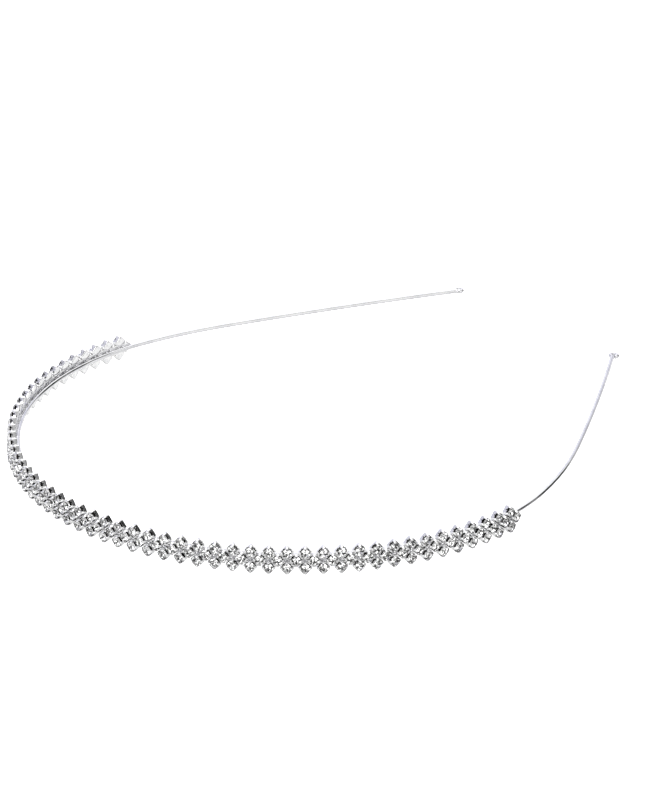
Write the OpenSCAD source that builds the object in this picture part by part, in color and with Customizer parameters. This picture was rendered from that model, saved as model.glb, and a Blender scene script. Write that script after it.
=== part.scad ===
// Crystal headband: a spring wire bent to a U, with three rows of claw-set crystals on its outside.
// It lies on its edge: the U is horizontal, its crown towards -Y and its open end towards +Y.
// Lengths along the wire are measured on its centre line from the top of the crown bend.

/* [Spring wire] */
// Diameter of the wire
wire_d = 1.0; // [0.8:0.1:1.4]
// Radius of the crown bend
crown_r = 60; // [52:1:70]
// Angle of the crown bend on each side, in degrees
crown_half = 102; // [100:0.5:106]
// Radius of the slacker bend behind each ear
shoulder_r = 105; // [80:5:160]
// Angle of the slacker bend, in degrees
shoulder_angle = 13; // [5:0.5:20]
// Radius of the slight bow that each leg keeps
leg_r = 760; // [500:20:1200]
// Length of the leg at +X, from the slacker bend to its end eye
leg_right = 51.5; // [35:0.5:70]
// Length of the leg at -X
leg_left = 60; // [35:0.5:70]
// Outer diameter of the eye curled at each end
eye_d = 2.5; // [2.2:0.1:3.6]
// How far the eye leans outwards from the line of its leg, in degrees
eye_lean = 20; // [0:5:60]

/* [Crystal strip] */
// Columns of the top and bottom rows: the middle row has one more
columns = 55; // [31:2:55]
// Distance from column to column along the wire
column_pitch = 3.6; // [3.5:0.05:3.8]
// Height of the top row over the middle row
row_rise = 1.6; // [1.55:0.01:1.65]
// How far the strip's middle lies from the top of the bend, towards +X
strip_shift = -5.5; // [-7:0.5:7]

/* [Claw cup] */
// Width of a cup across its flat sides
cup_w = 2.38; // [2.3:0.01:2.4]
// Distance from a cup's centre to its blunt corners
cup_reach = 1.53; // [1.52:0.01:1.56]
// Thickness of a cup's back
cup_back = 0.25; // [0.2:0.05:0.3]
// Height of a cup's wall over its back
cup_wall = 0.5; // [0.4:0.05:0.7]
// Height of the four claws over the wall
claw_rise = 0.9; // [0.7:0.05:1]
// Width of the gap between two claws
claw_gap = 1.15; // [1:0.05:1.3]
// Diameter of the well that takes a crystal's point
well_d = 1.8; // [1.6:0.05:1.85]
// Diameter of the seat that its widest edge lies in
seat_d = 2.26; // [2.22:0.01:2.28]
// Depth of that seat below the top of the claws
seat_depth = 0.55; // [0.45:0.05:0.6]
// How far the claws reach past a crystal's widest edge
claw_grip = 0.25; // [0.2:0.05:0.3]
// Gap between the wire and the backs of the cups
solder_gap = 0.05; // [0.02:0.01:0.1]

/* [Crystal] */
// Diameter of a crystal over its widest edge
crystal_d = 2.16; // [2.1:0.01:2.18]
// Width of the flat table on its front
table_d = 1.2; // [1:0.05:1.3]
// Height of the table over the widest edge
crystal_crown = 0.42; // [0.3:0.02:0.5]
// Depth of the point behind the widest edge
crystal_point = 0.92; // [0.7:0.02:1]
// Facets round the crown and round the point
crystal_sides = 8; // [8:1:10]

/* [Hidden] */
$fn = 32;
bend_sides = 240;

// The cups' backs, the claws' tops and a crystal's widest edge, out from the wire's centre line
cup_base = wire_d / 2 + solder_gap;
claw_top = cup_base + cup_back + cup_wall + claw_rise;
edge_out = claw_top - claw_grip;
table_out = edge_out + crystal_crown;
// Half of the strip's height, which is also how high the wire lies
half_height = row_rise + cup_reach;

// The two seams of solder that join the rows lie inside the cups' backs
seam_w = 0.5;
seam_t = cup_back - 0.1;
seam_inset = 0.05;
seam_overrun = 1.4;

// A bead no thicker than the plating closes each joint between two bends of the wire
bead_d = wire_d + 0.02;
bend_gap = 0.03;
// The curl of the eye is pressed a hair thicker than the wire
eye_wire_d = wire_d + 0.04;

// A point on the wire is [x, y, heading in degrees]: the heading is 0 at the top of the bend
function along(from, radius, angle) = [
    from[0] + radius * (sin(from[2] + angle) - sin(from[2])),
    from[1] + radius * (cos(from[2]) - cos(from[2] + angle)),
    from[2] + angle
];
function degrees_of(arc_length, radius) = arc_length / radius * 180 / PI;

crown_end = along([0, 0, 0], crown_r, crown_half);
shoulder_end = along(crown_end, shoulder_r, shoulder_angle);
eye_r = (eye_d - eye_wire_d) / 2;
function leg_end(leg) = along(shoulder_end, leg_r, degrees_of(leg, leg_r));
function eye_centre(end) = [
    end[0] + eye_r * cos(end[2] - eye_lean),
    end[1] + eye_r * sin(end[2] - eye_lean)
];

// The strip's angle about the centre of the crown bend, and the step from column to column
strip_turn = degrees_of(strip_shift, crown_r);
column_turn = degrees_of(column_pitch, crown_r);
middle_columns = columns + 1;

// The box round the whole headband, for an origin at the middle of its bottom
front_y = -table_out;
rear_y = max([for (leg = [leg_left, leg_right]) eye_centre(leg_end(leg))[1] + eye_d / 2]);
centre_y = (front_y + rear_y) / 2;

// One bend of the wire, which stops just short of its two ends, where a bead or an eye takes over
module wire_bend(from, radius, angle) {
    stop = degrees_of(bend_gap, radius) / 2;
    translate([from[0], from[1], 0])
        rotate(from[2])
            translate([0, radius, 0])
                rotate(stop - 90)
                    rotate_extrude(angle = angle - 2 * stop, $fn = bend_sides)
                        translate([radius, 0])
                            circle(d = wire_d);
}

// A bead's poles lie along the wire, where the two bends meet it
module joint_bead(at) {
    translate([at[0], at[1], 0])
        rotate([0, 90, at[2]])
            sphere(d = bead_d);
}

module end_eye(end) {
    centre = eye_centre(end);
    translate([centre[0], centre[1], 0])
        rotate_extrude()
            translate([eye_r, 0])
                circle(d = eye_wire_d);
}

module leg(length) {
    joint_bead(crown_end);
    wire_bend(crown_end, shoulder_r, shoulder_angle);
    joint_bead(shoulder_end);
    wire_bend(shoulder_end, leg_r, degrees_of(length, leg_r));
    end_eye(leg_end(length));
}

// Puts its children on the headband, with the U's bend in the XY plane of the wire
module on_headband() {
    translate([0, -centre_y, half_height])
        children();
}

// Puts its children at each cup: +X is outwards from the wire, +Y runs along the strip
module at_each(count, height) {
    for (i = [0 : count - 1])
        translate([0, crown_r, height])
            rotate(-90 + strip_turn + (i - (count - 1) / 2) * column_turn)
                translate([crown_r, 0, 0])
                    children();
}

module at_all_cups() {
    at_each(columns, row_rise)
        children();
    at_each(middle_columns, 0)
        children();
    at_each(columns, -row_rise)
        children();
}

// Stands a flat shape up, so that what is extruded points outwards
module facing_out(from) {
    translate([from, 0, 0])
        rotate([90, 0, 90])
            children();
}

module blunt_square(width, reach) {
    side = width / 2;
    corner = reach * sqrt(2) - side;
    rotate(45)
        polygon([
            [side, -corner], [side, corner], [corner, side], [-corner, side],
            [-side, corner], [-side, -corner], [-corner, -side], [corner, -side]
        ]);
}

module claw_cup() {
    difference() {
        facing_out(cup_base)
            linear_extrude(claw_top - cup_base)
                blunt_square(cup_w, cup_reach);
        facing_out(cup_base + cup_back)
            cylinder(d = well_d, h = claw_top - cup_base);
        facing_out(claw_top - seat_depth)
            cylinder(d = seat_d, h = seat_depth + 1);
        for (turn = [45, -45])
            facing_out(claw_top - claw_rise)
                rotate(turn)
                    translate([-claw_gap / 2, -cup_w, 0])
                        cube([claw_gap, 2 * cup_w, claw_rise + 1]);
    }
}

// A flat seam of solder inside the backs of the cups, from the first cup of a row to its last
module solder_seam(height) {
    reach = (columns - 1) / 2 * column_turn + degrees_of(seam_overrun, crown_r);
    translate([0, crown_r, height - seam_w / 2])
        rotate(-90 + strip_turn - reach)
            rotate_extrude(angle = 2 * reach, $fn = bend_sides)
                translate([crown_r + cup_base + seam_inset, 0])
                    square([seam_t, seam_w]);
}

// A brilliant in brief: an eight-sided table, a crown of triangles and a point
module crystal() {
    n = crystal_sides;
    table = [for (i = [0 : n - 1]) let (a = i * 360 / n)
        [table_out, table_d / 2 * cos(a), table_d / 2 * sin(a)]];
    edge = [for (i = [0 : n - 1]) let (a = (i + 0.5) * 360 / n)
        [edge_out, crystal_d / 2 * cos(a), crystal_d / 2 * sin(a)]];
    point = [[edge_out - crystal_point, 0, 0]];
    crown_down = [for (i = [0 : n - 1]) [n + i, (i + 1) % n, i]];
    crown_up = [for (i = [0 : n - 1]) [n + i, n + (i + 1) % n, (i + 1) % n]];
    back = [for (i = [0 : n - 1]) [2 * n, n + (i + 1) % n, n + i]];
    polyhedron(
        points = concat(table, edge, point),
        faces = concat([[for (i = [0 : n - 1]) i]], crown_down, crown_up, back)
    );
}

module band_wire() {
    color("silver")
        on_headband() {
            wire_bend(along([0, 0, 0], crown_r, -crown_half), crown_r, 2 * crown_half);
            leg(leg_right);
            // The wire is flat, so turning a leg over makes the other one
            rotate([0, 180, 0])
                leg(leg_left);
        }
}

module claw_cups() {
    color("gainsboro")
        on_headband() {
            at_all_cups()
                claw_cup();
            solder_seam(row_rise / 2);
            solder_seam(-row_rise / 2);
        }
}

module crystals() {
    color("white")
        on_headband()
            at_all_cups()
                crystal();
}

band_wire();
claw_cups();
crystals();
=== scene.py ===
"""A crystal headband: a sprung silver wire with three rows of claw-set crystals on its outside.

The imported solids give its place. This scene dresses them and stands them in a white studio.
"""

import logging
import math
import random
from dataclasses import dataclass, field
from enum import Enum
from typing import Any, Callable, Iterable, Sequence

import bpy
from mathutils import Matrix, Vector


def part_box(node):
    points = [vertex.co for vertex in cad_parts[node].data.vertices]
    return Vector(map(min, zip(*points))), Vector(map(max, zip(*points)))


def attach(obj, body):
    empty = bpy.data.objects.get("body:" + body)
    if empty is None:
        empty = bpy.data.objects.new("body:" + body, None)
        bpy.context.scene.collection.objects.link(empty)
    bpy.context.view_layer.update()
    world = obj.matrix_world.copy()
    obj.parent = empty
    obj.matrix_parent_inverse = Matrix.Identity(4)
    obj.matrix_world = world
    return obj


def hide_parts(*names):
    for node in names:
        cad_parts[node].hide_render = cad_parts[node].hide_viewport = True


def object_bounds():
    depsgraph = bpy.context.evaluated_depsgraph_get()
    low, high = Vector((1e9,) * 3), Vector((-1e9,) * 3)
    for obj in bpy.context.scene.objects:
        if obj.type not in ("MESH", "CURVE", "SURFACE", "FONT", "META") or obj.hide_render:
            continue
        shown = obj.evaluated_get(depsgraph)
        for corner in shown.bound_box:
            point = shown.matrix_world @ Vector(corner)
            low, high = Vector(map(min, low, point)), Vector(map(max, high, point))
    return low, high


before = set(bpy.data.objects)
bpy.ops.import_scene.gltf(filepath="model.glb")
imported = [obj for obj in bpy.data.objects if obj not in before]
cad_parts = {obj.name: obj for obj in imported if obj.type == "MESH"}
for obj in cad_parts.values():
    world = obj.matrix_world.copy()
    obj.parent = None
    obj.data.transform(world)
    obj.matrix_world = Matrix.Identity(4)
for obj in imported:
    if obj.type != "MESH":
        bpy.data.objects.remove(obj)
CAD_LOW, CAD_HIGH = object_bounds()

MM = 0.001
PHOTO_WIDTH_PX = 645
PHOTO_HEIGHT_PX = 807

# Nearly all of a noise texture's values lie between these two
NOISE_LOW = 0.3
NOISE_HIGH = 0.7

log = logging.getLogger("headband")

Colour = tuple[float, float, float, float]
Face = tuple[int, ...]
Mesh = tuple[list[Vector], list[Face]]


def linear(hex_colour: str) -> Colour:
    """Turn an sRGB colour into Blender's linear one.

    Args:
        hex_colour: Six hex digits after a hash mark.

    Returns:
        Linear red, green and blue, and an alpha of 1.
    """
    channels = [int(hex_colour[i:i + 2], 16) / 255 for i in (1, 3, 5)]
    red, green, blue = (c / 12.92 if c <= 0.04045 else ((c + 0.055) / 1.055) ** 2.4 for c in channels)
    return red, green, blue, 1.0


def add_node(tree: bpy.types.NodeTree, kind: str, inputs: dict[Any, Any] | None = None,
             **settings: Any) -> Any:
    """Add one node with its settings and links.

    Args:
        tree: The node tree that takes it.
        kind: The node's type in Blender.
        inputs: Socket names or numbers, each with a value, or with the output socket that feeds it.
        settings: Attributes of the node itself.

    Returns:
        The new node.
    """
    node = tree.nodes.new(kind)
    for name, value in settings.items():
        setattr(node, name, value)
    for name, value in (inputs or {}).items():
        if isinstance(value, bpy.types.NodeSocket):
            tree.links.new(value, node.inputs[name])
        else:
            node.inputs[name].default_value = value
    return node


def new_material(name: str) -> tuple[bpy.types.Material, bpy.types.NodeTree, Any]:
    """Start a node material.

    Args:
        name: What the real material is and how it was made.

    Returns:
        The material, its node tree and its surface shader.
    """
    made = bpy.data.materials.new(name)
    made.use_nodes = True
    return made, made.node_tree, made.node_tree.nodes["Principled BSDF"]


def per_metre(size_mm: float) -> float:
    """The noise scale whose grains are about size_mm across."""
    return 1 / (size_mm * MM)


class Slot(Enum):
    """Names for three material slots."""

    WIRE = "silver_wire"
    CUPS = "silver_cups"
    CRYSTAL = "crystal"


class Row(Enum):
    """The three rows of the strip, each with its height in steps over the wire."""

    TOP = 1
    MIDDLE = 0
    BOTTOM = -1


@dataclass(frozen=True)
class SilverPlate:
    """Silver plating over a base metal: bright, cool white, and never quite even.

    The plate follows what was under it, so drawn wire keeps faint lines along its length and a stamped cup
    keeps a soft grain. Both give the eye reflections that waver, with a little grey where the plate is thin.
    The lines of drawn wire are line_stretch times as long as they are wide.
    """

    name: str
    bright: str
    thin: str
    polish: float
    dull: float
    patch_mm: float
    grain_mm: float
    grain_depth_mm: float
    drawn: bool = False
    line_stretch: float = 40
    thin_below: float = 0.3
    bright_above: float = 0.6

    def material(self) -> bpy.types.Material:
        """Build the plating as a node material.

        Returns:
            The material.
        """
        made, tree, shader = new_material(self.name)
        place = add_node(tree, "ShaderNodeTexCoord")
        patches = add_node(tree, "ShaderNodeTexNoise", {
            "Vector": place.outputs["Object"], "Scale": per_metre(self.patch_mm), "Detail": 3.0,
            "Roughness": 0.6})
        colour = add_node(tree, "ShaderNodeValToRGB", {"Fac": patches.outputs["Fac"]})
        colour.color_ramp.elements[0].position = self.thin_below
        colour.color_ramp.elements[0].color = linear(self.thin)
        colour.color_ramp.elements[1].position = self.bright_above
        colour.color_ramp.elements[1].color = linear(self.bright)
        if self.drawn:
            along = add_node(tree, "ShaderNodeUVMap", uv_map="drawn")
            stretch = (per_metre(self.line_stretch * self.grain_mm), per_metre(self.grain_mm), 1.0)
            lines = add_node(tree, "ShaderNodeMapping", {"Vector": along.outputs["UV"], "Scale": stretch})
            grain = add_node(tree, "ShaderNodeTexNoise", {
                "Vector": lines.outputs["Vector"], "Scale": 1.0, "Detail": 2.0})
        else:
            grain = add_node(tree, "ShaderNodeTexNoise", {
                "Vector": place.outputs["Object"], "Scale": per_metre(self.grain_mm), "Detail": 2.0})
        rough = add_node(tree, "ShaderNodeMapRange", {
            "Value": grain.outputs["Fac"], "From Min": NOISE_LOW, "From Max": NOISE_HIGH,
            "To Min": self.polish, "To Max": self.dull})
        bump = add_node(tree, "ShaderNodeBump", {
            "Height": grain.outputs["Fac"], "Strength": 1.0, "Distance": self.grain_depth_mm * MM})
        tree.links.new(colour.outputs["Color"], shader.inputs["Base Color"])
        tree.links.new(rough.outputs["Result"], shader.inputs["Roughness"])
        tree.links.new(bump.outputs["Normal"], shader.inputs["Normal"])
        shader.inputs["Metallic"].default_value = 1.0
        return made


@dataclass(frozen=True)
class PaintedCupShade:
    """Painted shade for the inside of a cup: a near-black colour, a little lighter in random patches, put on
    the inner walls and floor, where the real silver cup lies in shade under its crystal.

    It gives the eye the dark line between a crystal and the low sides of its cup.
    """

    name: str = "cup_inside_painted_shade"
    # Painted shade: a near black and a slightly lighter dark grey that stand in for the shade inside the cup
    dark: str = "#0C0C0E"
    lighter_shade: str = "#24221F"
    roughness: float = 0.45
    patch_mm: float = 0.4
    dark_below: float = 0.45
    lighter_shade_above: float = 0.7

    def material(self) -> bpy.types.Material:
        """Build the painted shade as a node material.

        Returns:
            The material.
        """
        made, tree, shader = new_material(self.name)
        place = add_node(tree, "ShaderNodeTexCoord")
        patches = add_node(tree, "ShaderNodeTexNoise", {
            "Vector": place.outputs["Object"], "Scale": per_metre(self.patch_mm), "Detail": 2.0})
        colour = add_node(tree, "ShaderNodeValToRGB", {"Fac": patches.outputs["Fac"]})
        colour.color_ramp.elements[0].position = self.dark_below
        colour.color_ramp.elements[0].color = linear(self.dark)
        colour.color_ramp.elements[1].position = self.lighter_shade_above
        colour.color_ramp.elements[1].color = linear(self.lighter_shade)
        tree.links.new(colour.outputs["Color"], shader.inputs["Base Color"])
        shader.inputs["Roughness"].default_value = self.roughness
        shader.inputs["Metallic"].default_value = 1.0
        return made


@dataclass(frozen=True)
class CutGlass:
    """Clear cut glass, machine polished: water white, with crisp facet edges.

    It gives the eye small sharp flashes, a little softer where handling has left a smear of haze, and each
    stone has its own trace of tint.
    """

    name: str = "cut_crystal_glass_polished"
    clear: str = "#FFFFFF"
    tinted: str = "#F5F5F5"
    ior: float = 1.55
    haze: float = 0.02
    smear_mm: float = 0.9
    smear_above: float = 0.45

    def material(self) -> bpy.types.Material:
        """Build the glass as a node material.

        Returns:
            The material.
        """
        made, tree, shader = new_material(self.name)
        tint = add_node(tree, "ShaderNodeAttribute", attribute_name="stone_tint")
        colour = add_node(tree, "ShaderNodeValToRGB", {"Fac": tint.outputs["Fac"]})
        colour.color_ramp.elements[0].color = linear(self.clear)
        colour.color_ramp.elements[1].color = linear(self.tinted)
        place = add_node(tree, "ShaderNodeTexCoord")
        smears = add_node(tree, "ShaderNodeTexNoise", {
            "Vector": place.outputs["Object"], "Scale": per_metre(self.smear_mm), "Detail": 2.0})
        haze = add_node(tree, "ShaderNodeMapRange", {
            "Value": smears.outputs["Fac"], "From Min": self.smear_above, "From Max": NOISE_HIGH,
            "To Min": 0.0, "To Max": self.haze})
        tree.links.new(colour.outputs["Color"], shader.inputs["Base Color"])
        tree.links.new(haze.outputs["Result"], shader.inputs["Roughness"])
        shader.inputs["Transmission Weight"].default_value = 1.0
        shader.inputs["IOR"].default_value = self.ior
        return made


@dataclass(frozen=True)
class MirrorFoil:
    """The silvering on a crystal's back facets: a vacuum-coated mirror, slightly uneven from facet to facet.

    It gives the eye the broken bright and dark facets that show through a crystal's table.
    """

    name: str = "mirror_foil_vacuum_coated"
    bright: str = "#FAFAFA"
    worn: str = "#E8E8E8"
    polish: float = 0.02
    dull: float = 0.08
    patch_mm: float = 0.5
    worn_below: float = 0.35
    bright_above: float = 0.55

    def material(self) -> bpy.types.Material:
        """Build the silvering as a node material.

        Returns:
            The material.
        """
        made, tree, shader = new_material(self.name)
        place = add_node(tree, "ShaderNodeTexCoord")
        patches = add_node(tree, "ShaderNodeTexNoise", {
            "Vector": place.outputs["Object"], "Scale": per_metre(self.patch_mm), "Detail": 1.0})
        colour = add_node(tree, "ShaderNodeValToRGB", {"Fac": patches.outputs["Fac"]})
        colour.color_ramp.elements[0].position = self.worn_below
        colour.color_ramp.elements[0].color = linear(self.worn)
        colour.color_ramp.elements[1].position = self.bright_above
        colour.color_ramp.elements[1].color = linear(self.bright)
        rough = add_node(tree, "ShaderNodeMapRange", {
            "Value": patches.outputs["Fac"], "From Min": NOISE_LOW, "From Max": NOISE_HIGH,
            "To Min": self.dull, "To Max": self.polish})
        tree.links.new(colour.outputs["Color"], shader.inputs["Base Color"])
        tree.links.new(rough.outputs["Result"], shader.inputs["Roughness"])
        shader.inputs["Metallic"].default_value = 1.0
        return made


@dataclass(frozen=True)
class PaleSweep:
    """The matt white board that the headband lies on.

    It is lit from below like a light table, so it gives the eye plain white without a shadow.
    """

    name: str = "white_board_matt"
    white: str = "#FAFAFA"
    shade: str = "#F4F4F5"
    roughness: float = 0.7
    mottle_mm: float = 30.0
    glow: float = 1.0

    def material(self) -> bpy.types.Material:
        """Build the board as a node material.

        Returns:
            The material.
        """
        made, tree, shader = new_material(self.name)
        place = add_node(tree, "ShaderNodeTexCoord")
        mottle = add_node(tree, "ShaderNodeTexNoise", {
            "Vector": place.outputs["Object"], "Scale": per_metre(self.mottle_mm)})
        colour = add_node(tree, "ShaderNodeMix", {
            "Factor": mottle.outputs["Fac"], "A": linear(self.white), "B": linear(self.shade)},
            data_type="RGBA")
        tree.links.new(colour.outputs["Result"], shader.inputs["Base Color"])
        shader.inputs["Roughness"].default_value = self.roughness
        shader.inputs["Emission Color"].default_value = linear(self.white)
        shader.inputs["Emission Strength"].default_value = self.glow
        return made


# The lines that a drawing die leaves are about 0.01 mm wide, which is too fine to show, so they are wider
# here. They give the eye soft streaks of light along the wire.
DRAWN_SILVER = SilverPlate(
    name="spring_wire_drawn_silver_plated", bright="#EEEEF0", thin="#DEDEE2", polish=0.07, dull=0.13,
    patch_mm=3.0, grain_mm=0.06, grain_depth_mm=0.0005, drawn=True)

# The grain of pressed brass is about 0.05 mm, which is too fine to show, so it is coarser here.
# It gives the eye a mirror that is soft in places, with bright rims.
STAMPED_SILVER = SilverPlate(
    name="brass_cup_stamped_silver_plated", bright="#FAFAFA", thin="#E8E8EA", polish=0.05, dull=0.12,
    patch_mm=0.8, grain_mm=0.25, grain_depth_mm=0.003)


def ring_faces(first: int, rings: int, around: int) -> list[Face]:
    """Make the faces between rings of points that follow one another.

    Args:
        first: The number of the first ring's first point.
        rings: How many rings there are.
        around: How many points each ring has.

    Returns:
        The faces, ring after ring.
    """
    faces: list[Face] = []
    for low in range(first, first + (rings - 1) * around, around):
        high = low + around
        for i in range(around):
            beside = (i + 1) % around
            faces.append((low + i, low + beside, high + beside, high + i))
    return faces


def add_piece(name: str, meshes: Iterable[Mesh], materials: Sequence[bpy.types.Material],
              crease_deg: float | None = None) -> bpy.types.Object:
    """Join loose shapes into one piece that rides on the headband's body.

    Args:
        name: The piece's name.
        meshes: The vertices and faces of each shape, in metres, in the row's frame.
        materials: The materials, in slot order.
        crease_deg: The angle above which an edge stays sharp, or None for flat facets.

    Returns:
        The new object.
    """
    points: list[Vector] = []
    faces: list[Face] = []
    for some_points, some_faces in meshes:
        first = len(points)
        points.extend(some_points)
        faces.extend(tuple(first + i for i in face) for face in some_faces)
    mesh = bpy.data.meshes.new(name)
    mesh.from_pydata([tuple(p) for p in points], [], faces)
    mesh.validate()
    for material in materials:
        mesh.materials.append(material)
    piece = bpy.data.objects.new(name, mesh)
    bpy.context.scene.collection.objects.link(piece)
    if crease_deg is not None:
        mesh.shade_smooth()
        mesh.set_sharp_from_angle(angle=math.radians(crease_deg))
    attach(piece, "root")
    return piece


@dataclass
class SpringWire:
    """The band itself: one drawn wire, bent in tangent arcs, with a centred eye curled at each end.

    Its cut ends are rounded off by rings, each given by its size and how far past the end it lies, both in
    wire radii.
    """

    wire_d: float = 1.0 * MM
    crown_r: float = 60 * MM
    crown_half_deg: float = 102
    shoulder_r: float = 105 * MM
    shoulder_deg: float = 13
    leg_r: float = 760 * MM
    leg_right: float = 51.5 * MM
    leg_left: float = 60 * MM
    eye_d: float = 2.5 * MM
    eye_lean_deg: float = 20
    eye_turn_deg: float = 292
    neck_r: float = 0.6 * MM
    end_rounding: tuple[tuple[float, float], ...] = ((0.55, 0.33), (0.85, 0.18))
    table_out: float = 2.37 * MM
    sides: int = 20
    step_deg: float = 2.0
    bow_steps: int = 12
    neck_steps: int = 5
    eye_steps: int = 36
    height: float = field(init=False)
    crown_top: Vector = field(init=False)

    def __post_init__(self) -> None:
        """Take the wire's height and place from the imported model."""
        low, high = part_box("band_wire")
        self.height = (low.z + high.z) / 2
        self.crown_top = Vector((0, CAD_LOW.y + self.table_out, self.height))

    def crown_centre(self) -> Vector:
        """The centre of the crown bend."""
        return self.crown_top + Vector((0, self.crown_r, 0))

    def bend(self, start: Vector, heading: float, radius: float, turn: float, steps: int) -> list[Vector]:
        """Walk one arc of the centre line.

        Args:
            start: Where the arc starts.
            heading: Its first direction, in radians from +X towards +Y.
            radius: Its radius, negative where it curls the other way.
            turn: How far it turns, in radians.
            steps: How many points it has.

        Returns:
            The points after the start.
        """
        centre = start + radius * Vector((-math.sin(heading), math.cos(heading), 0))
        headings = [heading + turn * i / steps for i in range(1, steps + 1)]
        return [centre + radius * Vector((math.sin(h), -math.cos(h), 0)) for h in headings]

    def half_path(self, leg: float) -> list[Vector]:
        """Walk the centre line from the top of the crown to the end of one eye, towards +X.

        Args:
            leg: Length of the leg behind the slacker bend.

        Returns:
            Points on the centre line.
        """
        eye_r = (self.eye_d - self.wire_d) / 2
        lean = math.radians(self.eye_lean_deg)
        neck_turn = math.acos((self.neck_r + eye_r * math.sin(lean)) / (self.neck_r + eye_r))
        neck_length = (self.neck_r + eye_r) * math.sin(neck_turn)
        stem = leg + eye_r * math.cos(lean) - neck_length
        bends = [
            (self.crown_r, math.radians(self.crown_half_deg), round(self.crown_half_deg / self.step_deg)),
            (self.shoulder_r, math.radians(self.shoulder_deg), round(self.shoulder_deg / self.step_deg)),
            (self.leg_r, stem / self.leg_r, self.bow_steps),
            (self.neck_r, neck_turn, self.neck_steps),
            (-eye_r, -math.radians(self.eye_turn_deg), self.eye_steps)]
        path = [self.crown_top.copy()]
        heading = 0.0
        for radius, turn, steps in bends:
            path += self.bend(path[-1], heading, radius, turn, steps)
            heading += turn
        return path

    def path(self) -> list[Vector]:
        """Walk the whole centre line.

        Returns:
            Its points, from the eye at -X to the eye at +X.
        """
        right = self.half_path(self.leg_right)
        left = [Vector((-p.x, p.y, p.z)) for p in self.half_path(self.leg_left)]
        return left[:0:-1] + right

    def ring(self, centre: Vector, ahead: Vector, size: float) -> list[Vector]:
        """Make one round of points about the centre line.

        Args:
            centre: The ring's centre.
            ahead: The wire's direction there.
            size: The ring's radius in wire radii.

        Returns:
            The points.
        """
        radius = self.wire_d / 2 * size
        up = Vector((0, 0, 1))
        out = ahead.cross(up)
        angles = [2 * math.pi * i / self.sides for i in range(self.sides)]
        return [centre + radius * (math.cos(a) * out + math.sin(a) * up) for a in angles]

    def build(self, finish: bpy.types.Material) -> bpy.types.Object:
        """Sweep the wire's round section along the centre line, with its cut ends rounded off.

        Args:
            finish: The wire's plating.

        Returns:
            The wire as one closed piece.
        """
        line = self.path()
        last = len(line) - 1
        ahead = [(line[min(i + 1, last)] - line[max(i - 1, 0)]).normalized() for i in range(last + 1)]
        radius = self.wire_d / 2
        points: list[Vector] = []
        for size, past in self.end_rounding:
            points += self.ring(line[0] - ahead[0] * radius * past, ahead[0], size)
        for centre, direction in zip(line, ahead):
            points += self.ring(centre, direction, 1.0)
        for size, past in reversed(self.end_rounding):
            points += self.ring(line[-1] + ahead[-1] * radius * past, ahead[-1], size)
        rings = len(points) // self.sides
        faces = ring_faces(0, rings, self.sides)
        faces.append(tuple(reversed(range(self.sides))))
        faces.append(tuple(range((rings - 1) * self.sides, rings * self.sides)))
        piece = add_piece("spring_wire", [(points, faces)], [finish], crease_deg=60)
        self.lay_out(piece.data, rings)
        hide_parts("band_wire")
        return piece

    def lay_out(self, mesh: bpy.types.Mesh, rings: int) -> None:
        """Give the wire a flat layout in metres: u along its length, v round it.

        Args:
            mesh: The swept wire.
            rings: How many rings it has.
        """
        n = self.sides
        lengths = [0.0]
        for r in range(1, rings):
            lengths.append(lengths[-1] + (mesh.vertices[r * n].co - mesh.vertices[(r - 1) * n].co).length)
        layer = mesh.uv_layers.new(name="drawn")
        round_it = math.pi * self.wire_d
        for face in mesh.polygons:
            wraps = {mesh.loops[i].vertex_index % n for i in face.loop_indices} >= {0, n - 1}
            for i in face.loop_indices:
                vertex = mesh.loops[i].vertex_index
                place = vertex % n
                share = 1.0 if wraps and place == 0 else place / n
                layer.data[i].uv = (lengths[vertex // n], share * round_it)


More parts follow.
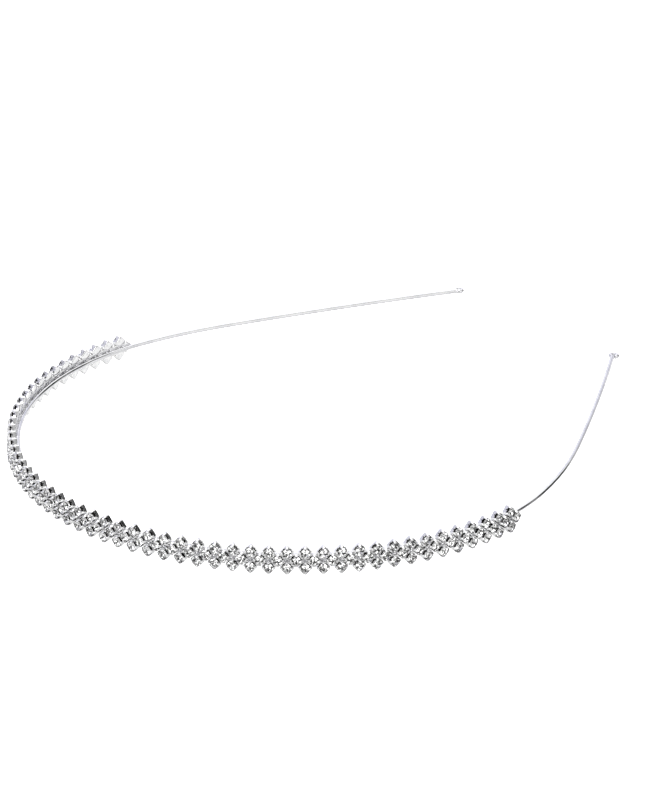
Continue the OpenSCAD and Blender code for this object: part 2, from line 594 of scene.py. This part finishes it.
@dataclass(frozen=True)
class ClawCup:
    """One square claw cup, pressed from sheet: a flat back, four low sides and a claw bent in at each corner.

    Its own frame has x along the strip, y up and z outwards from the wire's centre line. Sizes are in
    millimetres, and heights are distances outwards. Angles across a side count from its middle to a corner at
    45 degrees. Each side has a narrow slit in its middle and a wide notch between its two claws.
    """

    width: float = 2.38
    squareness: float = 5.0
    base: float = 0.55
    sheet: float = 0.13
    # The back bulges this much towards the wire: halfway out it has turned away by a fifth of this
    dish: float = 0.04
    dish_reach_share: float = 0.5
    dish_rise_share: float = 0.2
    # The rounded edge between back and wall, and where its middle lies
    back_rounding: float = 0.11
    rounding_in_share: float = 0.3
    rounding_up_share: float = 0.35
    # The plain wall ends at the notch, or at the foot of the slit, and its last ring lies just below
    side_top: float = 1.55
    slit_foot: float = 1.2
    wall_end: float = 0.02
    # A claw stands up to its knee, and from there it is bent in over the crystal
    claw_knee: float = 1.82
    claw_lean: float = 0.13
    claw_tip_out: float = 2.24
    claw_tip_in: float = 0.90
    claw_crook: float = 1.3
    tip_thinning: float = 0.35
    knee_share: float = 0.42
    # Half widths of the slit and the notch, and the angle from which a claw has its full height
    slit_deg: float = 5.5
    notch_deg: float = 27
    claw_deg: float = 36
    claw_fullness: float = 3
    # The notch keeps this much of a claw, so that its edge stays a surface
    notch_share: float = 0.02
    # The floor inside: how far over it the corner starts, and where its flat part begins
    floor_corner: float = 0.1
    floor_ring_share: float = 0.6
    # Where the cup is cut: angles across half a side, and steps up a claw's outside and down its inside
    half_side_deg: tuple[float, ...] = (41, 38.5, 36, 33, 30, 27, 15, 6.5, 5)
    outside_shares: tuple[float, ...] = (0, 0.22, 0.45, 0.6, 0.75, 0.88, 1)
    inside_shares: tuple[float, ...] = (1, 0.88, 0.75, 0.6, 0.45, 0)

    def directions(self) -> list[tuple[float, float]]:
        """The directions in which the cup is cut, each in radians and in degrees from its side's middle."""
        across = [-45.0] + [-a for a in self.half_side_deg] + list(reversed(self.half_side_deg))
        return [(math.radians(45 + 90 * side + a), a) for side in range(4) for a in across]

    def wall_radius(self, angle: float) -> float:
        """Work out how far the wall lies from the cup's centre, square with rounded corners.

        Args:
            angle: Direction in radians from the strip's own direction.

        Returns:
            The distance.
        """
        turned = angle - math.pi / 4
        p = self.squareness
        fold = abs(math.cos(turned)) ** p + abs(math.sin(turned)) ** p
        return self.width / 2 / fold ** (1 / p)

    def claw_share(self, side_angle: float) -> float:
        """How much of a claw stands at this angle across a side: 0 in the notch and 1 at full height."""
        beside = min(max((abs(side_angle) - self.notch_deg) / (self.claw_deg - self.notch_deg), 0.0), 1.0)
        return 1 - (1 - beside) ** self.claw_fullness

    def claw_line(self, radius: float, wall_top: float, share: float) -> tuple[float, float, float]:
        """Find a point on the outside of the wall above its plain part, and the slope there.

        Args:
            radius: The wall's radius at this angle.
            wall_top: The height of the plain part.
            share: How far along the claw, from 0 at its foot to 1 at the tip.

        Returns:
            Distance from the cup's axis, height, and the lean inwards in radians.
        """
        if share <= self.knee_share:
            up = share / self.knee_share
            return radius - self.claw_lean * up * up, wall_top + (self.claw_knee - wall_top) * up, 0.0
        bend = (share - self.knee_share) / (1 - self.knee_share)
        crook, quarter = self.claw_crook, math.pi / 2
        reach = radius - self.claw_lean - self.claw_tip_in
        height = self.claw_tip_out - self.claw_knee
        lean = math.atan2(reach * crook * bend ** (crook - 1), height * quarter * math.cos(bend * quarter))
        inwards = radius - self.claw_lean - reach * bend ** crook
        return inwards, self.claw_knee + height * math.sin(bend * quarter), lean

    def back_cut(self, radius: float, wall_top: float) -> list[tuple[float, float]]:
        """Cut through the back and the plain wall in one direction.

        Args:
            radius: The wall's radius at this angle.
            wall_top: The height of the plain wall.

        Returns:
            Distances from the axis and heights, from the middle of the back to the wall's top.
        """
        turn, rim = self.back_rounding, self.base + self.dish
        return [
            (radius * self.dish_reach_share, self.base + self.dish_rise_share * self.dish),
            (radius - turn, rim),
            (radius - self.rounding_in_share * turn, rim + self.rounding_up_share * turn),
            (radius, rim + turn),
            (radius, wall_top - self.wall_end)]

    def cut(self, angle: float, side_angle: float) -> list[tuple[float, float]]:
        """Cut through the cup in one direction, from the middle of its back round to its floor.

        Args:
            angle: Direction in radians.
            side_angle: The same direction in degrees from the middle of its side.

        Returns:
            Distances from the axis and heights.
        """
        radius = self.wall_radius(angle)
        wall_top = self.slit_foot if abs(side_angle) < self.slit_deg else self.side_top
        share = self.notch_share + (1 - self.notch_share) * self.claw_share(side_angle)
        line = self.back_cut(radius, wall_top)
        line += [self.claw_line(radius, wall_top, share * step)[:2] for step in self.outside_shares]
        for step in self.inside_shares:
            r, z, lean = self.claw_line(radius, wall_top, share * step)
            thick = self.sheet * (1 - self.tip_thinning * share * step)
            line.append((r - thick * math.cos(lean), z - thick * math.sin(lean)))
        inner, floor = radius - self.sheet, self.base + self.dish + self.sheet
        line += [(inner, floor + self.floor_corner), (inner * self.floor_ring_share, floor)]
        return line

    def mesh(self) -> Mesh:
        """Build the cup as one closed shell.

        Returns:
            Its vertices and faces, the plated faces first.
        """
        directions = self.directions()
        cuts = [self.cut(angle, side_angle) for angle, side_angle in directions]
        rings, around = len(cuts[0]), len(cuts)
        points = [Vector((0, 0, self.base)) * MM]
        for ring in zip(*cuts):
            for (angle, _), (r, z) in zip(directions, ring):
                points.append(Vector((r * math.cos(angle), r * math.sin(angle), z)) * MM)
        points.append(Vector((0, 0, self.base + self.dish + self.sheet)) * MM)
        top, last = 1 + (rings - 1) * around, len(points) - 1
        faces: list[Face] = [(0, 1 + (i + 1) % around, 1 + i) for i in range(around)]
        faces += ring_faces(1, rings, around)
        faces += [(last, top + i, top + (i + 1) % around) for i in range(around)]
        return points, faces

    def plated_faces(self) -> int:
        """How many of the faces are on the outside and the rim, which come first."""
        back_points = len(self.back_cut(self.width / 2, self.side_top))
        return len(self.directions()) * (back_points + len(self.outside_shares) + 1)


@dataclass(frozen=True)
class Chaton:
    """One round crystal in the plain cut of small stones, with sizes in millimetres in the cup's frame.

    Its table has eight bezels round it and eight corner facets between them. Below its thin girdle is a
    silvered point of eight wide facets and eight small ones.
    """

    facets: int = 8
    diameter: float = 2.08
    table: float = 1.2
    girdle_out: float = 1.94
    girdle: float = 0.04
    crown: float = 0.42
    depth: float = 0.90

    def ring(self, count: int, first_deg: float, radius: float, out: float) -> list[Vector]:
        """A ring of corners in metres: their number, first direction, distance from the axis and height."""
        angles = [math.radians(first_deg + 360 / count * i) for i in range(count)]
        return [Vector((radius * math.cos(a), radius * math.sin(a), out)) * MM for a in angles]

    def mesh(self) -> Mesh:
        """Build the stone as one closed solid.

        Returns:
            Its vertices and faces, the clear faces first and the silvered ones last.
        """
        n, girdle_n, radius = self.facets, 2 * self.facets, self.diameter / 2
        first_deg = 360 / girdle_n / 2
        points = self.ring(n, 0, self.table / 2, self.girdle_out + self.crown)
        points += self.ring(girdle_n, first_deg, radius, self.girdle_out + self.girdle / 2)
        points += self.ring(girdle_n, first_deg, radius, self.girdle_out - self.girdle / 2)
        points.append(Vector((0, 0, self.girdle_out - self.depth)) * MM)
        high, low, tip = n, n + girdle_n, n + 2 * girdle_n
        faces: list[Face] = [tuple(range(n))]
        corners = [((i + 1) % n, 2 * i, 2 * i + 1, (2 * i + 2) % girdle_n) for i in range(n)]
        for i, (j, a, b, c) in enumerate(corners):
            faces += [(i, high + a, high + b, j), (j, high + b, high + c)]
        for i in range(girdle_n):
            j = (i + 1) % girdle_n
            faces.append((high + i, low + i, low + j, high + j))
        for _, a, b, c in corners:
            faces += [(tip, low + c, low + a), (low + a, low + c, low + b)]
        return points, faces

    def clear_faces(self) -> int:
        """How many of the faces are clear: the table, the bezels, the corner facets and the girdle."""
        return 1 + self.facets + self.facets + 2 * self.facets


@dataclass
class CrystalStrip:
    """Three rows of claw cups with a crystal in each, set on the outside of the crown bend.

    The strip leans back a little, more at its right end. Soldering leaves each cup a small turn of its own,
    and each crystal sits slightly tilted.
    """

    wire: SpringWire
    columns: int = 55
    pitch: float = 3.6 * MM
    rise: float = 1.6 * MM
    shift: float = -5.5 * MM
    lean_left_deg: float = 3.5
    lean_right_deg: float = 6
    cup: ClawCup = field(default_factory=ClawCup)
    stone: Chaton = field(default_factory=Chaton)
    # The seams of solder stop a little short of the strip's ends, and their corners by the wire are bevelled
    seam_width: float = 0.7 * MM
    seam_thick: float = 0.16 * MM
    seam_out: float = 0.58 * MM
    seam_corner_share: float = 0.3
    seam_short_columns: float = 0.3
    cup_twist_deg: float = 0.8
    cup_yaw_deg: float = 1.5
    stone_tilt_deg: float = 1.8
    cup_seed: int = 7
    stone_seed: int = 107

    def section(self, along: float) -> Matrix:
        """Give the frame of a cut across the strip, at the wire's centre line: x along, y up and z outwards.

        Args:
            along: How far the cut lies from the strip's middle.

        Returns:
            The frame as a matrix.
        """
        angle = (self.shift + along) / self.wire.crown_r
        share = 0.5 + along / (self.columns * self.pitch)
        lean = self.lean_left_deg + (self.lean_right_deg - self.lean_left_deg) * share
        out = Vector((math.sin(angle), -math.cos(angle), 0))
        on = Vector((math.cos(angle), math.sin(angle), 0))
        at = self.wire.crown_centre() + self.wire.crown_r * out
        upright = Matrix(((on.x, 0, out.x, at.x), (on.y, 0, out.y, at.y), (0, 1, 0, at.z), (0, 0, 0, 1)))
        return upright @ Matrix.Rotation(math.radians(-lean), 4, "X")

    def seats(self, row: Row) -> list[Matrix]:
        """Give the frame of each cup in a row.

        Args:
            row: Which of the three rows.

        Returns:
            One matrix for each cup.
        """
        count = self.columns + 1 if row is Row.MIDDLE else self.columns
        raised = Matrix.Translation(Vector((0, self.rise * row.value, 0)))
        return [self.section((i - (count - 1) / 2) * self.pitch) @ raised for i in range(count)]

    def solder(self, side: int) -> Mesh:
        """Run the seam of solder between two rows, as one closed strip over the backs of the cups.

        Args:
            side: 1 for the seam above the wire and -1 for the seam below it.

        Returns:
            Its vertices and faces.
        """
        half, low, high = self.seam_width / 2, self.seam_out, self.seam_out + self.seam_thick
        edge = low + self.seam_corner_share * self.seam_thick
        cut = [(-half, high), (-half, edge), (-half / 2, low), (half / 2, low), (half, edge), (half, high)]
        length = (self.columns - self.seam_short_columns) * self.pitch
        steps = 2 * (self.columns - 1)
        sections = [self.section((k / steps - 0.5) * length) for k in range(steps + 1)]
        middle = side * self.rise / 2
        points = [section @ Vector((0, middle + y, z)) for section in sections for y, z in cut]
        n = len(cut)
        faces: list[Face] = [tuple(reversed(range(n))), tuple(range(steps * n, (steps + 1) * n))]
        return points, faces + ring_faces(0, steps + 1, n)

    def placed(self, mesh: Mesh, seats: Iterable[Matrix], nudge: Callable[[], Matrix]) -> Iterable[Mesh]:
        """Copy a shape into each seat.

        Args:
            mesh: The shape in the cup's frame.
            seats: Where the copies go.
            nudge: Gives each copy its own small turn.

        Returns:
            The copies' meshes.
        """
        points, faces = mesh
        for seat in seats:
            to_row = seat @ nudge()
            yield [to_row @ p for p in points], faces

    def cup_nudge(self, rng: random.Random) -> Matrix:
        """Draw the slight turn that soldering leaves in a cup: a twist about its own middle, and a yaw.

        Args:
            rng: The row's random numbers.

        Returns:
            The turn about the middle of the cup's back.
        """
        twist = math.radians(rng.uniform(-1, 1) * self.cup_twist_deg)
        yaw = math.radians(rng.uniform(-1, 1) * self.cup_yaw_deg)
        back = Matrix.Translation(Vector((0, 0, self.cup.base * MM)))
        return back @ Matrix.Rotation(yaw, 4, "Y") @ Matrix.Rotation(twist, 4, "Z") @ back.inverted()

    def stone_nudge(self, rng: random.Random) -> Matrix:
        """Draw a crystal's own turn in its cup, and its slight tilt.

        Args:
            rng: The row's random numbers.

        Returns:
            The turn about the middle of the crystal's girdle.
        """
        tilt = math.radians(self.stone_tilt_deg)
        middle = Matrix.Translation(Vector((0, 0, self.stone.girdle_out * MM)))
        lean = Matrix.Rotation(rng.uniform(-tilt, tilt), 4, "X")
        lean = lean @ Matrix.Rotation(rng.uniform(-tilt, tilt), 4, "Y")
        turn = Matrix.Rotation(rng.uniform(0, 2 * math.pi / self.stone.facets), 4, "Z")
        return middle @ lean @ turn @ middle.inverted()

    def build_cups(self, row: Row, plating: bpy.types.Material,
                   inside: bpy.types.Material) -> bpy.types.Object:
        """Press one row of cups.

        Args:
            row: Which of the three rows.
            plating: The finish of their outsides.
            inside: The painted shade on their insides.

        Returns:
            The row as one piece.
        """
        rng = random.Random(self.cup_seed + row.value)
        shape = self.cup.mesh()
        cups = self.placed(shape, self.seats(row), lambda: self.cup_nudge(rng))
        piece = add_piece(f"claw_cups_{row.name.lower()}", cups, [plating, inside], crease_deg=40)
        per_cup, plated = len(shape[1]), self.cup.plated_faces()
        # Faces inside the cup, after the plated ones, take the painted shade
        for i, face in enumerate(piece.data.polygons):
            face.material_index = 0 if i % per_cup < plated else 1
        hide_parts("claw_cups")
        return piece

    def build_solder(self, plating: bpy.types.Material) -> bpy.types.Object:
        """Run the two seams of solder that join the rows.

        Args:
            plating: The finish of the seams, which were plated with the cups.

        Returns:
            Both seams as one piece.
        """
        piece = add_piece("solder_seams", [self.solder(1), self.solder(-1)], [plating], crease_deg=60)
        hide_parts("claw_cups")
        return piece

    def build_crystals(self, row: Row, glass: bpy.types.Material,
                       foil: bpy.types.Material) -> bpy.types.Object:
        """Set one row of crystals.

        Args:
            row: Which of the three rows.
            glass: The finish of their clear fronts.
            foil: The finish of their silvered backs.

        Returns:
            The row as one piece.
        """
        rng = random.Random(self.stone_seed + row.value)
        shape = self.stone.mesh()
        stones = self.placed(shape, self.seats(row), lambda: self.stone_nudge(rng))
        piece = add_piece(f"crystals_{row.name.lower()}", stones, [glass, foil])
        per_stone, clear = len(shape[1]), self.stone.clear_faces()
        mesh = piece.data
        tint = mesh.attributes.new("stone_tint", "FLOAT", "FACE")
        shades = [rng.random() for _ in range(len(mesh.polygons) // per_stone)]
        for i, face in enumerate(mesh.polygons):
            face.material_index = 0 if i % per_stone < clear else 1
            tint.data[i].value = shades[i // per_stone]
        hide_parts("crystals")
        return piece


@dataclass(frozen=True)
class Card:
    """A soft-edged round patch of the studio that the silver and the crystals mirror.

    Its azimuth runs from +Y towards +X, and its elevation up from the level of the board.
    """

    azimuth_deg: float
    elevation_deg: float
    half_deg: float
    soft_deg: float
    strength: float
    tint: str = "#FFFFFF"

    def towards(self) -> Vector:
        """Work out where the card stands.

        Returns:
            The direction of its middle.
        """
        azimuth, elevation = math.radians(self.azimuth_deg), math.radians(self.elevation_deg)
        level = math.cos(elevation)
        return Vector((math.sin(azimuth) * level, math.cos(azimuth) * level, math.sin(elevation)))

    def light(self) -> Colour:
        """The card's linear colour times its strength."""
        red, green, blue, _ = linear(self.tint)
        return red * self.strength, green * self.strength, blue * self.strength, 1.0


@dataclass
class Studio:
    """A white board, a bright room with softboxes, lamps and flags, and the photograph's camera.

    Each card covers those before it: the softboxes come first, then the side flags, the lamps and the lens
    flags.
    """

    # The photograph's camera, as fitted to the wire's outline
    azimuth_deg: float = 39.83
    elevation_deg: float = 24.33
    roll_deg: float = 0.77
    distance: float = 725.8 * MM
    focal_px: float = 3252
    target_x: float = -5.30 * MM
    target_along: float = 76.24 * MM
    sensor_mm: float = 36.0
    board_size: float = 12.0
    board_drop: float = 0.02 * MM
    # How bright the room is at each elevation in degrees
    room_levels: tuple[tuple[float, float], ...] = (
        (-90, 0.55), (-58, 0.7), (-38, 0.96), (-6, 1.0), (4, 1.0), (22, 1.25))
    # The softbox overhead, and cards from white to grey that tint the wire and the backs of the cups
    softboxes: tuple[Card, ...] = (
        Card(0, 88, 13, 5, 3.0),
        Card(90, 26, 14, 8, 1.04, "#FAFAF6"),
        Card(-22, 20, 9, 6, 0.86, "#E4E4F4"),
        Card(-145, 55, 11, 5, 0.42, "#E8E8F4"),
        Card(-62, 0, 20, 10, 1.05, "#F3F3FF"),
        Card(-95, 22, 20, 10, 0.80, "#ECECFA"),
        Card(-126, 44, 14, 10, 0.80, "#ECECFA"),
    )
    # Flags from black to grey, from behind the right leg round to over the lens, which draw the metal's edges
    side_flags: tuple[Card, ...] = (
        Card(2, 14, 7, 3, 0.12),
        Card(33, 8, 8, 4, 0.05),
        Card(13, 23, 8, 3, 0.03),
        Card(24, 31, 8, 3, 0.06),
        Card(36, 38, 9, 4, 0.14),
        Card(19, 8, 9, 4, 0.03),
        Card(18, -7, 7, 5, 0.06),
        Card(40, 24, 9, 4, 0.08),
        Card(34, -4, 8, 5, 0.25),
        Card(62, -4, 9, 6, 0.45),
        Card(52, 47, 9, 4, 0.26),
        Card(72, 57, 9, 4, 0.42),
        Card(108, 64, 11, 4, 0.52),
        Card(165, 63, 12, 6, 0.70, "#ECECFA"),
    )
    # Bright lamps left, right and over the lens, which make the crystals sparkle
    lamps: tuple[Card, ...] = (
        Card(112, 22, 8, 3, 3.6),
        Card(168, 22, 8, 3, 3.6),
        Card(140, 52, 8, 3, 3.6),
    )
    # Black flags between and below the lamps and round the lens, which give the crystals their dark facets
    lens_flags: tuple[Card, ...] = (
        Card(114, 44, 11, 4, 0.04),
        Card(166, 44, 11, 4, 0.04),
        Card(112, -4, 10, 4, 0.05),
        Card(168, -4, 10, 4, 0.05),
        Card(140, 22, 15.5, 6, 0.04),
    )

    def build_board(self) -> bpy.types.Object:
        """Lay the white board under the headband. The silver and the glass mirror the room in its place.

        Returns:
            The board.
        """
        half = self.board_size / 2
        mesh = bpy.data.meshes.new("white_board")
        corners = [(-half, -half), (half, -half), (half, half), (-half, half)]
        mesh.from_pydata([(x, y, -self.board_drop) for x, y in corners], [], [(0, 1, 2, 3)])
        mesh.materials.append(PaleSweep().material())
        board = bpy.data.objects.new("white_board", mesh)
        board.visible_glossy = False
        board.visible_transmission = False
        bpy.context.scene.collection.objects.link(board)
        return board

    def card_mask(self, tree: bpy.types.NodeTree, direction: Any, card: Card) -> Any:
        """Mask the room to one card.

        Args:
            tree: The world's node tree.
            direction: The output that holds the direction.
            card: The card.

        Returns:
            An output that is 1 on the card and 0 off it.
        """
        dot = add_node(
            tree, "ShaderNodeVectorMath", {0: direction, 1: tuple(card.towards())}, operation="DOT_PRODUCT")
        edge = add_node(tree, "ShaderNodeMapRange", {
            "Value": dot.outputs["Value"],
            "From Min": math.cos(math.radians(card.half_deg + card.soft_deg)),
            "From Max": math.cos(math.radians(card.half_deg))}, interpolation_type="SMOOTHSTEP")
        return edge.outputs["Result"]

    def room(self, tree: bpy.types.NodeTree, direction: Any) -> Any:
        """Paint the room without its cards: grey straight down, as under the band, and white at eye level.

        Args:
            tree: The world's node tree.
            direction: The output that holds the direction.

        Returns:
            The output that holds the room's colour.
        """
        height = add_node(tree, "ShaderNodeSeparateXYZ", {0: direction})
        place = add_node(tree, "ShaderNodeMapRange", {
            "Value": height.outputs["Z"], "From Min": -1.0, "From Max": 1.0})
        levels = add_node(tree, "ShaderNodeValToRGB", {"Fac": place.outputs["Result"]})
        ramp = levels.color_ramp
        while len(ramp.elements) < len(self.room_levels):
            ramp.elements.new(1.0)
        for element, (elevation_deg, level) in zip(ramp.elements, self.room_levels):
            element.position = (math.sin(math.radians(elevation_deg)) + 1) / 2
            element.color = (level, level, level, 1.0)
        return levels.outputs["Color"]

    def build_light(self) -> None:
        """Light the studio with the bright room and its cards, each mixed over those before it."""
        world = bpy.data.worlds.new("soft_studio")
        bpy.context.scene.world = world
        world.use_nodes = True
        tree = world.node_tree
        direction = add_node(tree, "ShaderNodeTexCoord").outputs["Generated"]
        seen = self.room(tree, direction)
        for card in self.softboxes + self.side_flags + self.lamps + self.lens_flags:
            mixed = add_node(tree, "ShaderNodeMix", {
                "Factor": self.card_mask(tree, direction, card), "A": seen, "B": card.light()},
                data_type="RGBA")
            seen = mixed.outputs["Result"]
        tree.links.new(seen, tree.nodes["Background"].inputs["Color"])

    def build_camera(self, wire: SpringWire) -> bpy.types.Object:
        """Stand the camera where the photograph's stood.

        Args:
            wire: The headband's wire, which gives the crown's place.

        Returns:
            The camera.
        """
        azimuth, elevation, roll = (
            math.radians(a) for a in (self.azimuth_deg, self.elevation_deg, self.roll_deg))
        back = Vector((
            math.sin(azimuth) * math.cos(elevation), -math.cos(azimuth) * math.cos(elevation),
            math.sin(elevation)))
        level = Vector((math.cos(azimuth), math.sin(azimuth), 0))
        above = back.cross(level)
        right = math.cos(roll) * level + math.sin(roll) * above
        up = math.cos(roll) * above - math.sin(roll) * level
        target = wire.crown_top + Vector((self.target_x, self.target_along, 0))
        place = target + back * self.distance
        lens = bpy.data.cameras.new("photo_camera")
        lens.sensor_width = self.sensor_mm
        lens.lens = self.focal_px * self.sensor_mm / max(PHOTO_WIDTH_PX, PHOTO_HEIGHT_PX)
        camera = bpy.data.objects.new("photo_camera", lens)
        camera.matrix_world = Matrix((
            (right.x, up.x, back.x, place.x), (right.y, up.y, back.y, place.y),
            (right.z, up.z, back.z, place.z), (0, 0, 0, 1)))
        bpy.context.scene.collection.objects.link(camera)
        bpy.context.scene.camera = camera
        return camera

    def build(self, wire: SpringWire) -> None:
        """Set up the board, the light and the camera.

        Args:
            wire: The headband's wire, which gives the crown's place.
        """
        self.build_board()
        self.build_light()
        self.build_camera(wire)
        bpy.context.scene.view_settings.view_transform = "Standard"
        bpy.context.scene.view_settings.look = "None"


def main() -> None:
    """Build the headband's pieces in order, then the studio round them."""
    logging.basicConfig(level=logging.INFO, format="%(message)s")
    wire = SpringWire()
    made = [wire.build(DRAWN_SILVER.material())]
    strip = CrystalStrip(wire)
    plating = STAMPED_SILVER.material()
    # The cups' insides get painted shade in place of the silver that they really have
    inside = PaintedCupShade().material()
    glass = CutGlass().material()
    foil = MirrorFoil().material()
    for row in Row:
        made.append(strip.build_cups(row, plating, inside))
        made.append(strip.build_crystals(row, glass, foil))
    made.append(strip.build_solder(plating))
    Studio().build(wire)
    for piece in made:
        log.info("%s: %d faces", piece.name, len(piece.data.polygons))


if __name__ == "__main__":
    main()
